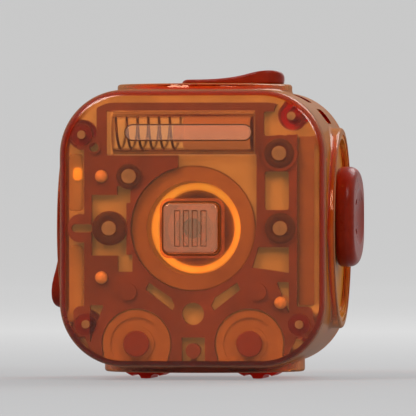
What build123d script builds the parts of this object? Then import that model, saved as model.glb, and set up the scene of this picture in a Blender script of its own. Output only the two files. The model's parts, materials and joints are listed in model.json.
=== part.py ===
"""Educational coding robot: a see-through cube on two powered rollers.

Three sides carry a turning control, the front carries a push button, and the covers show the chassis,
the gears and a sprung plunger inside. Millimetres; X to the right, Y from front to back, Z up; the
origin is on the floor under the middle of the body.
"""

import os
from math import cos, radians, sin

from build123d import *

# Body: three translucent mouldings stacked from front to back.
body_width = 79.0
body_height = 82.0
body_depth = 76.0
corner_radius = 19.2
edge_radius = 2.8
wall = 2.0
cover_depth = 7.0
floor_clearance = 4.0
seam_bevel = 0.4

# Gaps: pieces of one body only rest on each other, moving pieces keep clear.
rest_gap = 0.1
fit_gap = 0.05
bore_gap = 0.02
move_gap = 0.4

# Round openings in the sides: ring radius and how far the ring stands out.
ring_wall = 2.0
side_ring_radius = {"right": 30.0, "left": 28.0, "top": 26.2, "base": 30.0}
side_ring_height = {"right": 2.1, "left": 1.9, "top": 2.0, "base": 1.9}
ring_root = 4.0
ring_blend = 1.5
ring_edge = 0.9

# Side controls, measured outwards from the flat side of the body.
dish_floor = 1.5
skirt_depth = 6.0
skirt_wall = 1.6
dial_thickness = 1.5
shaft_radius = 3.0
rotor_radius = 19.0
rotor_thickness = 2.6
click_notches = 16
click_radius = 1.1
rotor_holes = 6
rotor_hole_radius = 2.6
bracket_width = 9.0
bracket_thickness = 1.6
encoder_size = 13.0
encoder_thickness = 3.0
accessory_hole_radius = 1.2
accessory_hole_spacing = 44.0

# Paddle lever on the left and top dials: heights are above the side of the body.
lever_tail = 7.0
lever_reach = 24.0
lever_low = 3.6
lever_high = 6.2
lever_width = 14.0

# Round-cornered knob on the right.
knob_width = 22.5
knob_height = 29.9
knob_corner = 10.5
knob_offset = 3.4
knob_reach = 7.95
knob_slant = 5.0
knob_edge = 2.9
knob_dish_depth = 1.2
knob_dish_radius = 8.5
knob_hole_radius = 0.9
knob_hole_spacing = 8.8
knob_hole_depth = 2.6
knob_bore_depth = 3.0

# Front button and the lit ring round it.
button_width = 16.2
button_height = 14.7
button_corner = 1.8
button_stand = 3.5
button_travel = 1.2
button_gap = 0.25
button_stem_radius = 3.0
button_stem_end = -26.4
spring_seat_y = -27.0
spring_seat_radius = 8.0
glow_inner = 11.4
glow_outer = 13.4
glow_front = -24.0
drum_radius = 18.3
drum_bore = 14.0
drum_face_y = -31.6
drum_floor_y = -20.0

# Chassis.
frame_thickness = 2.5
frame_front = -33.5
frame_edge_gap = 0.3
diffuser_thickness = 0.8
spacer_radius = 2.4
rear_frame_y = 22.0
board_y = 28.4
board_thickness = 1.6

# Rollers and their gears.
roller_x = 16.8
roller_radius = 10.8
roller_width = 20.0
hub_radius = 7.6
axle_radius = 1.5
tread_count = 12
gear_module = 0.6
wheel_teeth = 20
pinion_teeth = 12
mesh_angle = 80.0
gear_face = 2.4
pocket_gap = 0.6
pocket_end = 1.6
gear_y = -13.4
cap_radius = 10.1
motor_radius = 5.0
motor_length = 7.0
motor_shaft_radius = 1.0

# Sprung plunger in its clear tube.
tube_length = 43.6
tube_side = 12.7
tube_x = -3.6
tube_z = 28.2
tube_front = -35.2
tube_bore = 5.6
plunger_radius = 5.3
plunger_length = 20.0
spring_turns = 6
spring_wire = 0.4

# Window in the front cover, over the plunger.
window_width = 37.6
window_height = 4.7
window_x = -1.0
window_z = 28.3

# Air slots in the rounded corner.
vent_angles = (64.0, 38.0)
vent_y = 6.0
vent_length = 15.0
vent_width = 5.6

# Power and charging at the back.
usb_width = 9.0
usb_height = 3.3
usb_wall = 0.5
usb_z = -24.0
power_x = 22.0
power_travel = 3.0
power_stand = 3.0

# Worked out from the above.
body_z = floor_clearance + body_height / 2
front_y = -body_depth / 2
back_y = body_depth / 2
front_seam = front_y + cover_depth
back_seam = back_y - cover_depth
roller_z = roller_radius - body_z
frame_back = frame_front + frame_thickness
gear_tip = gear_module * (wheel_teeth / 2 + 0.85)
centre_distance = gear_module * (wheel_teeth + pinion_teeth) / 2
motor_x = roller_x + centre_distance * cos(radians(mesh_angle))
motor_z = roller_z + centre_distance * sin(radians(mesh_angle))
post_length = 14.0
post_radius = 4.2
screw_radius = 1.25
screw_head_radius = 2.5
low_posts = [(-31.7, -28.4), (31.7, -28.4)]
left_post = (-33.0, 27.7)
free_post = (29.4, 33.2)
free_post_tip = 2.4
front_posts = [left_post, free_post, *low_posts]
rear_posts = [(-30.4, 30.3), (30.4, 30.3), *low_posts]
spacer_places = [(-24.9, 0), (26.0, 0), (25.7, 22.2)]
led_places = [(-27.3, 15.4), (-27.3, -14.6), (26.0, -22.0)]
led_radius = 1.8
led_flange = 2.4
drum_ear_place = (-19, 15.4)
drum_ear_radius = 3.9
# The inner pieces start right behind the frame and its light plate.
layer_front = frame_back + diffuser_thickness + 2 * rest_gap

os.makedirs("parts", exist_ok=True)


def facing(y):
    """Sketch plane across the robot at depth y: right and up as seen from the front, normal forwards."""
    return Plane(origin=(0, y, body_z), x_dir=(1, 0, 0), z_dir=(0, -1, 0))


side_planes = {
    "right": Plane(origin=(body_width / 2, 0, body_z), x_dir=(0, 0, 1), z_dir=(1, 0, 0)),
    "left": Plane(origin=(-body_width / 2, 0, body_z), x_dir=(0, 0, -1), z_dir=(-1, 0, 0)),
    "top": Plane(origin=(0, 0, body_z + body_height / 2), x_dir=(1, 0, 0), z_dir=(0, 0, 1)),
    "base": Plane(origin=(0, 0, floor_clearance), x_dir=(1, 0, 0), z_dir=(0, 0, -1)),
}


def save(builder, name):
    """Label a finished piece and write its STEP file."""
    builder.part.label = name
    export_step(builder.part, f"parts/{name}.step")


def body_outline(inset=0.0, mode=Mode.ADD):
    """The round-cornered outline of the body, drawn smaller by inset."""
    RectangleRounded(
        body_width - 2 * inset, body_height - 2 * inset, corner_radius - inset, mode=mode
    )


def rod(y_from, y_to, places, radius, mode=Mode.ADD):
    """Round bars along the depth of the robot, one at each place."""
    with BuildSketch(facing(y_to)) as ends:
        with Locations(*places):
            Circle(radius)
    extrude(ends.sketch, amount=y_to - y_from, mode=mode)


def disc(plane, low, high, radius, mode=Mode.ADD):
    """A round disc between two heights over a side plane."""
    with BuildSketch(plane.offset(low)) as end:
        Circle(radius)
    extrude(end.sketch, amount=high - low, mode=mode)


def roller_places():
    """The two roller axes, seen from the front."""
    return [(-roller_x, roller_z), (roller_x, roller_z)]


def roller_pockets():
    """Room for the two rollers, cut from the piece being built."""
    end = roller_width / 2 + pocket_end
    rod(-end, end, roller_places(), roller_radius + pocket_gap, Mode.SUBTRACT)


# ---------------------------------------------------------------- covers and shell


def cover(seam, direction):
    """A front or rear cover: a shallow tray with a rounded outer edge and a small bevel at the seam."""
    plane = Plane(origin=(0, seam, body_z), x_dir=(-direction, 0, 0), z_dir=(0, direction, 0))
    with BuildPart() as tray:
        with BuildSketch(plane):
            body_outline()
        extrude(amount=cover_depth)
        outer = tray.faces().sort_by(Axis.Y)[0 if direction < 0 else -1]
        fillet(outer.edges(), edge_radius)
        rim = tray.faces().sort_by(Axis.Y)[-1 if direction < 0 else 0]
        chamfer(rim.edges(), seam_bevel)
        with BuildSketch(plane):
            body_outline(wall)
        extrude(amount=cover_depth - wall, mode=Mode.SUBTRACT)
    return tray


with BuildPart() as front_cover:
    add(cover(front_seam, -1).part)
    rod(front_y + wall / 2, frame_front - rest_gap, front_posts, post_radius - 1)
    rod(front_y + wall, frame_front - rest_gap, front_posts, screw_radius + bore_gap, Mode.SUBTRACT)
    with BuildSketch(facing(front_seam)):
        RectangleRounded(
            button_width + 2 * button_gap, button_height + 2 * button_gap, button_corner + button_gap
        )
        with Locations((window_x, window_z)):
            SlotOverall(window_width, window_height)
    extrude(amount=cover_depth, mode=Mode.SUBTRACT)
save(front_cover, "front_cover")

with BuildPart() as window_lens:
    with BuildSketch(facing(front_y + wall)):
        with Locations((window_x, window_z)):
            SlotOverall(window_width - 2 * fit_gap, window_height - 2 * fit_gap)
    extrude(amount=wall + 0.35)
    fillet(window_lens.faces().sort_by(Axis.Y)[0].edges(), 0.3)
save(window_lens, "window_lens")

with BuildPart() as main_shell:
    with BuildSketch(facing(back_seam)):
        body_outline()
    extrude(amount=back_seam - front_seam)
    chamfer(main_shell.faces().sort_by(Axis.Y)[0].edges(), seam_bevel)
    chamfer(main_shell.faces().sort_by(Axis.Y)[-1].edges(), seam_bevel)
    for side, plane in side_planes.items():
        disc(plane, -ring_root, side_ring_height[side], side_ring_radius[side])
    # The rings run into the rounded corners with a soft hollow.
    fillet(main_shell.edges().filter_by(GeomType.BSPLINE), ring_blend)
    ring_tops = [
        main_shell.faces().sort_by(axis)[end]
        for axis, end in ((Axis.X, -1), (Axis.X, 0), (Axis.Z, -1), (Axis.Z, 0))
    ]
    fillet([top.edges()[0] for top in ring_tops], ring_edge)
    with BuildSketch(facing(back_seam)):
        body_outline(wall)
    extrude(amount=back_seam - front_seam, mode=Mode.SUBTRACT)
    rod(front_seam, front_seam + post_length, front_posts, post_radius)
    rod(frame_front, front_seam, [free_post], free_post_tip)
    rod(back_seam - post_length, back_seam, rear_posts, post_radius)
    rod(frame_front, front_seam + post_length, front_posts, screw_radius + fit_gap, Mode.SUBTRACT)
    rod(back_seam - post_length, back_seam, rear_posts, screw_radius + bore_gap, Mode.SUBTRACT)
    for side, plane in side_planes.items():
        disc(plane, -ring_root, ring_root, side_ring_radius[side] - ring_wall, Mode.SUBTRACT)
    roller_pockets()
    # Two air slots over the upper right corner.
    for angle in vent_angles:
        across, up = cos(radians(angle)), sin(radians(angle))
        slot_middle = Plane(
            origin=(
                body_width / 2 - corner_radius + corner_radius * across,
                vent_y,
                body_z + body_height / 2 - corner_radius + corner_radius * up,
            ),
            x_dir=(0, 1, 0),
            z_dir=(across, 0, up),
        )
        with BuildSketch(slot_middle.offset(-2 * wall)):
            RectangleRounded(vent_length, vent_width, vent_width / 2 - 0.5)
        extrude(amount=3 * wall, mode=Mode.SUBTRACT)
save(main_shell, "main_shell")

usb_clearance = 0.3
slider_width = 5.0
slider_height = 3.0
with BuildPart() as rear_cover:
    add(cover(back_seam, 1).part)
    rod(back_seam, back_y - wall / 2, rear_posts, post_radius - 1)
    rod(back_seam, back_y, rear_posts, screw_radius + fit_gap, Mode.SUBTRACT)
    with BuildSketch(facing(back_y)):
        with Locations((0, usb_z)):
            RectangleRounded(usb_width + 2 * usb_clearance, usb_height + 2 * usb_clearance, 1.7)
        with Locations((power_x, usb_z)):
            RectangleRounded(slider_width + power_travel + 2 * move_gap, slider_height + 2 * move_gap, 0.8)
        # Sound holes: two rings round a middle one.
        Circle(0.9)
        for ring in (1, 2):
            with PolarLocations(4.0 * ring, 6 * ring):
                Circle(0.9)
    extrude(amount=cover_depth, mode=Mode.SUBTRACT)
save(rear_cover, "rear_cover")


with BuildPart() as base_plate:
    plug_radius = side_ring_radius["base"] - ring_wall - rest_gap
    disc(side_planes["base"], -2.0, side_ring_height["base"] - 0.4, plug_radius)
    fillet(base_plate.faces().sort_by(Axis.Z)[0].edges(), 0.4)
    roller_pockets()
    rod(
        gear_y - pocket_gap,
        gear_y + gear_face + pocket_gap,
        roller_places(),
        gear_tip + move_gap,
        Mode.SUBTRACT,
    )
save(base_plate, "base_plate")


# ---------------------------------------------------------------- turning controls on three sides


def make_dish(side):
    """The cup that closes a side ring: a floor with a shaft hole, a low lip and an inward skirt."""
    plane = side_planes[side]
    radius = side_ring_radius[side] - ring_wall - rest_gap
    with BuildPart() as dish:
        disc(plane, -skirt_depth, side_ring_height[side] - 0.3, radius)
        disc(plane, 0.2, ring_root, radius - 1.2, Mode.SUBTRACT)
        disc(plane, -skirt_depth, 0.2 - dish_floor, radius - skirt_wall, Mode.SUBTRACT)
        disc(plane, -skirt_depth, ring_root, shaft_radius + fit_gap, Mode.SUBTRACT)
        if side == "right":
            with BuildSketch(plane.offset(-skirt_depth)):
                with GridLocations(accessory_hole_spacing, 1, 2, 1):
                    Circle(accessory_hole_radius)
            extrude(amount=skirt_depth + ring_root, mode=Mode.SUBTRACT)
    return dish


def make_bracket(side):
    """The bar across the inside of a skirt that carries the rotary sensor."""
    plane = side_planes[side]
    length = 2 * (side_ring_radius[side] - ring_wall - rest_gap) - 1.0
    with BuildPart() as bracket:
        with BuildSketch(plane.offset(-skirt_depth - rest_gap - bracket_thickness)):
            RectangleRounded(length, bracket_width, 2.0)
            Circle(bracket_width * 0.8)
            Circle(shaft_radius + fit_gap, mode=Mode.SUBTRACT)
        extrude(amount=bracket_thickness)
    return bracket


sensor_top = -skirt_depth - bracket_thickness - 2 * rest_gap


def make_encoder(side):
    """The rotary sensor that reads the shaft."""
    plane = side_planes[side]
    with BuildPart() as encoder:
        with BuildSketch(plane.offset(sensor_top - encoder_thickness)):
            RectangleRounded(encoder_size, encoder_size, 1.2)
            Circle(shaft_radius + fit_gap, mode=Mode.SUBTRACT)
        extrude(amount=encoder_thickness)
    return encoder


def make_rotor(side, shaft_top):
    """The shaft with its notched click disc, which turns with the control."""
    plane = side_planes[side]
    size = rotor_radius if side == "right" else rotor_radius - 1.5
    with BuildPart() as rotor:
        disc(plane, sensor_top - encoder_thickness, shaft_top, shaft_radius)
        disc(plane, -skirt_depth + 0.6, -skirt_depth + 0.6 + rotor_thickness, size)
        with BuildSketch(plane.offset(-skirt_depth)):
            with PolarLocations(size, click_notches):
                Circle(click_radius)
        extrude(amount=skirt_depth - dish_floor, mode=Mode.SUBTRACT)
        with BuildSketch(plane.offset(-skirt_depth)):
            with PolarLocations(size * 0.62, rotor_holes):
                Circle(rotor_hole_radius)
        extrude(amount=skirt_depth - dish_floor, mode=Mode.SUBTRACT)
    return rotor


for side in ("right", "left", "top"):
    save(make_dish(side), f"{side}_dish")
    save(make_bracket(side), f"{side}_bracket")
    save(make_encoder(side), f"{side}_encoder")

dial_low = 0.2 + move_gap
dial_high = dial_low + dial_thickness


def make_dial(side):
    """The flat disc that fills the dish on the left and top sides."""
    plane = side_planes[side]
    radius = side_ring_radius[side] - ring_wall - 1.2 - 2 * move_gap
    with BuildPart() as dial:
        disc(plane, dial_low, dial_high, radius)
        fillet(dial.edges().filter_by(GeomType.CIRCLE), 0.3)
        disc(plane, dial_low, dial_high, shaft_radius + bore_gap, Mode.SUBTRACT)
    return dial


def make_lever(side):
    """The wave-shaped paddle: low at its tail, high at its round end."""
    plane = side_planes[side]
    low = dial_high + fit_gap
    profile_plane = Plane(
        origin=plane.origin + plane.y_dir * lever_width / 2, x_dir=plane.x_dir, z_dir=-plane.y_dir
    )
    # The profile's up is the outward direction of the side.
    flip = 1 if profile_plane.y_dir.dot(plane.z_dir) > 0 else -1
    with BuildPart() as lever:
        with BuildSketch(profile_plane):
            with BuildLine():
                tail_top = (-lever_tail + 2.6, flip * (lever_low - 0.1))
                slope = (11.5, flip * (lever_low + 1.1))
                crest = (lever_reach - 3.8, flip * lever_high)
                nose = (lever_reach, flip * (low + 1.6))
                Spline((-lever_tail, flip * low), tail_top, tangents=[(0.2, flip), (1, 0)])
                Spline(tail_top, (3.0, flip * (lever_low + 0.05)), slope, crest, tangents=[(1, 0), (1, 0)])
                Spline(crest, nose, tangents=[(1, 0), (0.1, -flip)])
                Line(nose, (lever_reach - 0.2, flip * low))
                Line((lever_reach - 0.2, flip * low), (-lever_tail, flip * low))
            make_face()
        extrude(amount=lever_width)
        # Seen from outside the lever is a long drop, wider at its round end.
        with BuildSketch(plane):
            with Locations((lever_reach - lever_width / 2, 0)):
                Circle(lever_width / 2)
            with Locations((-lever_tail + 5.0, 0)):
                Circle(5.0)
            make_hull()
        extrude(amount=lever_high + 2, mode=Mode.INTERSECT)
        disc(plane, 0, lever_low - 1.0, shaft_radius + bore_gap, Mode.SUBTRACT)
    return lever


for side in ("left", "top"):
    save(make_rotor(side, lever_low - 1.2), f"{side}_rotor")
    save(make_dial(side), f"{side}_dial")
    save(make_lever(side), f"{side}_lever")

knob_low = 0.2 + move_gap
knob_bore_top = knob_low + knob_bore_depth
save(make_rotor("right", knob_bore_top), "right_rotor")
# The knob's outer face leans back a little, lowest at its front edge.
knob_face = Plane(
    origin=(body_width / 2 + knob_reach, knob_width / 2, body_z + knob_offset),
    x_dir=(0, 0, 1),
    z_dir=(cos(radians(knob_slant)), -sin(radians(knob_slant)), 0),
)
dish_middle = knob_face.origin - knob_face.y_dir * knob_width / 2 * (1 if knob_face.y_dir.Y > 0 else -1)
with BuildPart() as right_knob:
    with BuildSketch(side_planes["right"].offset(knob_low)):
        with Locations((knob_offset, 0)):
            RectangleRounded(knob_height, knob_width, knob_corner)
    extrude(amount=knob_reach - knob_low)
    with BuildSketch(knob_face):
        Rectangle(2 * knob_height, 3 * knob_width)
    extrude(amount=knob_reach, mode=Mode.SUBTRACT)
    fillet(right_knob.faces().sort_by(Axis.X)[-1].edges(), knob_edge)
    fillet(right_knob.faces().sort_by(Axis.X)[0].edges(), 1.6)
    # A shallow round hollow for the fingertip.
    hollow_radius = (knob_dish_radius**2 + knob_dish_depth**2) / (2 * knob_dish_depth)
    hollow_middle = dish_middle + knob_face.z_dir * (hollow_radius - knob_dish_depth)
    with Locations(hollow_middle):
        Sphere(hollow_radius, mode=Mode.SUBTRACT)
    hole_mouth = hollow_middle.X - hollow_radius - body_width / 2
    with BuildSketch(side_planes["right"].offset(hole_mouth - knob_hole_depth)):
        with Locations((knob_offset, 0)):
            with GridLocations(knob_hole_spacing, 1, 2, 1):
                Circle(knob_hole_radius)
    extrude(amount=knob_hole_depth + 2 * knob_dish_depth, mode=Mode.SUBTRACT)
    disc(side_planes["right"], 0, knob_bore_top + rest_gap, shaft_radius + bore_gap, Mode.SUBTRACT)
save(right_knob, "right_knob")


# ---------------------------------------------------------------- front button and lit ring

flange_y = front_y + wall + 0.3
with BuildPart() as front_button:
    with BuildSketch(facing(flange_y)):
        RectangleRounded(button_width, button_height, button_corner)
    extrude(amount=flange_y - front_y + button_stand)
    fillet(front_button.faces().sort_by(Axis.Y)[0].edges(), 0.7)
    # Plain upright ribs in a shallow panel.
    panel_y = front_y - button_stand + 0.5
    with BuildSketch(facing(panel_y)):
        Rectangle(button_width - 5.0, button_height - 4.0)
        with GridLocations(2.6, 1, 5, 1):
            Rectangle(0.9, button_height - 4.0, mode=Mode.SUBTRACT)
    extrude(amount=1.0, mode=Mode.SUBTRACT)
    with BuildSketch(facing(flange_y + 1.0)):
        RectangleRounded(button_width + 3.0, button_height + 3.0, button_corner + 1.0)
    extrude(amount=1.0)
    rod(flange_y + 1.0, button_stem_end, [(0, 0)], button_stem_radius)
save(front_button, "front_button")


def coil_spring(start, direction, coil_radius, wire_radius, length, turns):
    """A wire spring wound along a direction from its starting end."""
    with BuildPart() as spring:
        with BuildLine() as path:
            Helix(pitch=length / turns, height=length, radius=coil_radius, center=start, direction=direction)
        with BuildSketch(Plane(origin=path.line @ 0, z_dir=path.line % 0)):
            Circle(wire_radius)
        sweep(is_frenet=True)
    return spring


with BuildPart() as centre_drum:
    rod(drum_face_y, drum_floor_y + wall, [(0, 0)], drum_radius)
    rod(layer_front, layer_front + wall / 2, [(0, 0)], drum_radius + 1.6)
    rod(drum_face_y, drum_floor_y, [(0, 0)], drum_bore, Mode.SUBTRACT)
    # Mounting ear behind the frame.
    rod(layer_front, layer_front + wall / 2, [drum_ear_place], drum_ear_radius)
    rod(layer_front, layer_front + wall / 2, [drum_ear_place], screw_radius + bore_gap, Mode.SUBTRACT)
save(centre_drum, "centre_drum")

with BuildPart() as glow_ring:
    rod(glow_front, drum_floor_y - fit_gap, [(0, 0)], glow_outer)
    rod(glow_front, drum_floor_y, [(0, 0)], glow_inner, Mode.SUBTRACT)
    fillet(glow_ring.faces().sort_by(Axis.Y)[0].edges(), 0.5)
save(glow_ring, "glow_ring")

switch_size = 7.5
switch_height = 3.0
actuator_radius = 1.7
with BuildPart() as button_switch:
    with BuildSketch(facing(drum_floor_y - fit_gap)):
        RectangleRounded(switch_size, switch_size, 0.6)
    extrude(amount=switch_height)
    rod(button_stem_end + button_travel, drum_floor_y - switch_height, [(0, 0)], actuator_radius)
save(button_switch, "button_switch")

seat_top = 1.5
with BuildPart() as button_seat:
    rod(spring_seat_y, drum_floor_y - fit_gap, [(0, 0)], spring_seat_radius)
    rod(spring_seat_y + seat_top, drum_floor_y, [(0, 0)], spring_seat_radius - seat_top, Mode.SUBTRACT)
    rod(spring_seat_y, drum_floor_y, [(0, 0)], button_stem_radius + fit_gap, Mode.SUBTRACT)
save(button_seat, "button_seat")
button_spring_start = flange_y + 1.4
button_spring_length = spring_seat_y - button_spring_start - 0.4
button_spring = coil_spring(
    (0, button_spring_start, body_z), (0, 1, 0), 5.2, 0.35, button_spring_length, 4
)
save(button_spring, "button_spring")

speaker_front = drum_floor_y + wall + rest_gap
with BuildPart() as speaker:
    rod(speaker_front, speaker_front + 2.4, [(0, 0)], 14.0)
    rod(speaker_front + 2.3, speaker_front + 7.9, [(0, 0)], 8.5)
    fillet(speaker.faces().sort_by(Axis.Y)[-1].edges(), 0.6)
save(speaker, "speaker")


# ---------------------------------------------------------------- chassis frame


def frame_openings():
    """The cut-outs that lighten the front frame, as seen from the front."""
    Circle(drum_radius + frame_edge_gap)
    with Locations((7.2, 11.0)):
        Rectangle(23.4, 21.6)
    with Locations((tube_x, tube_z)):
        Rectangle(tube_length + 2 * frame_edge_gap, tube_side + 2 * frame_edge_gap)
    for place in roller_places():
        with Locations(place):
            Circle(cap_radius + frame_edge_gap)
    with Locations((24.9, 11.1)):
        RectangleRounded(7.2, 11.4, 0.8)
    Polygon((19.4, -5.6), (28.5, -5.6), (28.5, -13.2), (17.6, -11.6), align=None)
    Polygon((24.9, -15.9), (28.5, -15.9), (28.5, -25.2), align=None)
    with Locations((24.6, 30.9)):
        RectangleRounded(7.2, 7.2, 0.8)
    with Locations((0, -25.3)):
        Circle(3.3)
    with Locations((0.1, -35.6)):
        Rectangle(6.9, 6.6)
    for turn in (1, -1):
        Polygon(
            (turn * 5.4, -23.0), (turn * 6.4, -20.6), (turn * 13.2, -16.0), (turn * 14.1, -18.2),
            (turn * 6.2, -24.4), align=None,
        )
    with Locations((-25.0, 0.9)):
        Rectangle(10.4, 18.0)
    with Locations((-20.6, 10.0)):
        Rectangle(4.0, 5.0)
    with Locations((-20.2, -10.4)):
        Rectangle(4.4, 5.0)
    Polygon((-30.6, -22.8), (-26.6, -22.8), (-28.6, -28.0), (-30.6, -34.0), align=None)


free_post_room = 5.6
left_boss = (-29.4, 23.9)
boss_stand = 0.8
# Bosses on the frame: place, outer radius.
frame_bosses = [
    ((-24.9, 0), 5.1),
    ((-19, 15.4), 3.9),
    ((25.7, 22.2), 5.4),
    ((26.0, 0), 4.9),
    ((-19.3, -18.8), 2.6),
    ((19.3, -18.8), 2.6),
    (left_boss, 1.9),
    ((0.1, -36.2), 2.2),
]
frame_screw_places = [*spacer_places, drum_ear_place]
with BuildPart() as chassis_frame:
    with BuildSketch(facing(frame_back)):
        with Locations((-0.75, -0.9)):
            RectangleRounded(63.3, 76.2, 9.0)
        # Side tabs that reach the corner posts and the shell.
        with Locations((-31.6, -27.6), (31.6, -27.6)):
            RectangleRounded(8.0, 9.0, 2.0)
        with Locations((-33.6, 0)):
            RectangleRounded(7.2, 8.4, 3.5)
        # The upper corners are cut back, and a round ear reaches the left post.
        Polygon(
            (-40, 26), (-28.7, 26), (-28.7, 35.4), (-26.6, 37.6), (-30, 42), align=None, mode=Mode.SUBTRACT
        )
        Polygon((28, 30.7), (42, 30.7), (42, 42), (27, 42), align=None, mode=Mode.SUBTRACT)
        with Locations(free_post):
            Circle(free_post_room, mode=Mode.SUBTRACT)
        with Locations((left_post[0] - 0.3, left_post[1])):
            Circle(3.4)
        with Locations((-31.5, 25.2)):
            RectangleRounded(6.0, 4.0, 1.0)
        body_outline(wall + frame_edge_gap, Mode.INTERSECT)
    extrude(amount=frame_thickness)
    with BuildSketch(facing(frame_back)):
        frame_openings()
        with Locations((-33.0, 0)):
            SlotOverall(6.4, 2.4)
    extrude(amount=frame_thickness, mode=Mode.SUBTRACT)
    for place, radius in frame_bosses:
        rod(frame_front - boss_stand, frame_back, [place], radius)
    rod(frame_front - 1, frame_back, frame_screw_places, screw_radius + fit_gap, Mode.SUBTRACT)
    rod(frame_front - 1, frame_back, [left_boss], 1.4, Mode.SUBTRACT)
    rod(frame_front - 1, frame_back, led_places, led_radius + rest_gap, Mode.SUBTRACT)
    rod(frame_front - 1, frame_back, [left_post, *low_posts], screw_radius + fit_gap, Mode.SUBTRACT)
    with BuildSketch(facing(frame_back)):
        Circle(drum_radius + frame_edge_gap)
        for place in roller_places():
            with Locations(place):
                Circle(cap_radius + frame_edge_gap)
    extrude(amount=frame_thickness + 1, mode=Mode.SUBTRACT)
save(chassis_frame, "chassis_frame")

with BuildPart() as light_diffuser:
    with BuildSketch(facing(frame_back + rest_gap + diffuser_thickness)):
        body_outline(wall + frame_edge_gap)
        Circle(drum_radius + frame_edge_gap, mode=Mode.SUBTRACT)
        with Locations(*front_posts):
            Circle(post_radius + frame_edge_gap, mode=Mode.SUBTRACT)
        with Locations(*led_places):
            Circle(led_flange + rest_gap, mode=Mode.SUBTRACT)
        with Locations(*roller_places()):
            Circle(axle_radius + move_gap, mode=Mode.SUBTRACT)
        with Locations(*spacer_places, drum_ear_place):
            Circle(screw_radius + fit_gap, mode=Mode.SUBTRACT)
        with Locations((tube_x, tube_z)):
            Rectangle(tube_length + 2 * frame_edge_gap, tube_side + 2 * frame_edge_gap, mode=Mode.SUBTRACT)
    extrude(amount=diffuser_thickness)
save(light_diffuser, "light_diffuser")

with BuildPart() as frame_spacers:
    rod(layer_front, rear_frame_y - rest_gap, spacer_places, spacer_radius)
    rod(layer_front, -22.0, spacer_places, screw_radius + bore_gap, Mode.SUBTRACT)
    rod(14.0, rear_frame_y, spacer_places, screw_radius + bore_gap, Mode.SUBTRACT)
save(frame_spacers, "frame_spacers")

board_post_places = [(-20, 18), (20, 18), (-22, -32), (22, -32)]
bush_radius = 3.0
with BuildPart() as rear_frame:
    with BuildSketch(facing(rear_frame_y + frame_thickness)):
        with Locations((0, 9.5)):
            RectangleRounded(60, 33, 3)
        with Locations((0, -20.0)):
            RectangleRounded(51, 37, 3)
        RectangleRounded(34, 22, 4, mode=Mode.SUBTRACT)
    extrude(amount=frame_thickness)
    rod(rear_frame_y + 1, board_y - rest_gap, board_post_places, 2.4)
    rod(rear_frame_y + 1, board_y, board_post_places, 1.0, Mode.SUBTRACT)
    rod(rear_frame_y, rear_frame_y + frame_thickness, spacer_places, screw_radius + fit_gap, Mode.SUBTRACT)
    rod(rear_frame_y, rear_frame_y + frame_thickness, roller_places(), bush_radius + fit_gap, Mode.SUBTRACT)
save(rear_frame, "rear_frame")


def machine_screws(places, head_y, tip_y, radius, head_radius, head_height):
    """A group of pan-head screws along the depth of the robot; the head is at head_y."""
    away = 1 if head_y > tip_y else -1
    with BuildPart() as screws:
        low, high = sorted((head_y, tip_y))
        rod(low, high, places, radius)
        low, high = sorted((head_y, head_y + away * head_height))
        rod(low, high, places, head_radius)
        # Cross recess in each head.
        with BuildSketch(facing(max(head_y + away * head_height, head_y + away * head_height / 3))):
            with Locations(*places):
                Rectangle(head_radius, 0.5)
                Rectangle(0.5, head_radius)
        extrude(amount=head_height * 2 / 3, mode=Mode.SUBTRACT)
    return screws


with BuildPart() as chassis_screws:
    head_y = frame_front - boss_stand - fit_gap
    add(machine_screws(spacer_places, head_y, -24.0, screw_radius, 2.1, 0.9).part)
    add(machine_screws([drum_ear_place], head_y, -29.5, screw_radius, 2.1, 0.9).part)
    head_y = rear_frame_y + frame_thickness + fit_gap
    add(machine_screws(spacer_places, head_y, 15.0, screw_radius, 2.1, 1.3).part)
    head_y = board_y + board_thickness + fit_gap
    add(machine_screws(board_post_places, head_y, 24.0, 0.95, 1.7, 0.9).part)
save(chassis_screws, "chassis_screws")
with BuildPart() as cover_screws:
    head_y = front_seam + post_length + fit_gap
    add(machine_screws(front_posts, head_y, front_y + 2.4, screw_radius, screw_head_radius, 1.6).part)
    add(machine_screws(rear_posts, back_y + fit_gap, 22.0, screw_radius, screw_head_radius, 1.4).part)
save(cover_screws, "cover_screws")

with BuildPart() as indicator_leds:
    rod(frame_front - 0.6, frame_back + 1.2, led_places, led_radius)
    rod(frame_back + 0.2, frame_back + 1.2, led_places, led_flange)
    for place in led_places:
        with Locations((place[0], frame_front - 0.6, body_z + place[1])):
            Sphere(led_radius)
save(indicator_leds, "indicator_leds")


# ---------------------------------------------------------------- rollers, gears and motors

bracket_y = -25.0
bracket_depth = 2.2
with BuildPart() as axle_bracket:
    with BuildSketch(facing(bracket_y + bracket_depth)):
        with Locations((0, -25.6)):
            RectangleRounded(52.0, 25.8, 3.0)
        Circle(drum_radius + 0.6, mode=Mode.SUBTRACT)
    extrude(amount=bracket_depth)
    rod(layer_front, bracket_y + 1, [(0, -30.6), (-9.0, -21.6), (9.0, -21.6)], 1.7)
    rod(bracket_y, bracket_y + bracket_depth, roller_places(), bush_radius + fit_gap, Mode.SUBTRACT)
save(axle_bracket, "axle_bracket")


def gear(teeth, centre, bore, phase):
    """A spur gear with straight-sided teeth, a little slim so that a pair runs free."""
    pitch_radius = gear_module * teeth / 2
    root_radius = pitch_radius - 1.25 * gear_module
    tip_radius = pitch_radius + 0.85 * gear_module
    tooth_height = tip_radius - root_radius + 0.3
    with BuildPart() as wheel:
        with BuildSketch(facing(gear_y + gear_face)):
            with Locations(centre):
                Circle(root_radius)
                with PolarLocations(root_radius - 0.3, teeth, start_angle=phase):
                    Polygon(
                        (0, -0.55), (tooth_height, -0.16), (tooth_height, 0.16), (0, 0.55), align=None
                    )
                Circle(bore, mode=Mode.SUBTRACT)
        extrude(amount=gear_face)
    return wheel


bush_flange = 0.6
motor_front = bracket_y + bracket_depth + rest_gap

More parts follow.
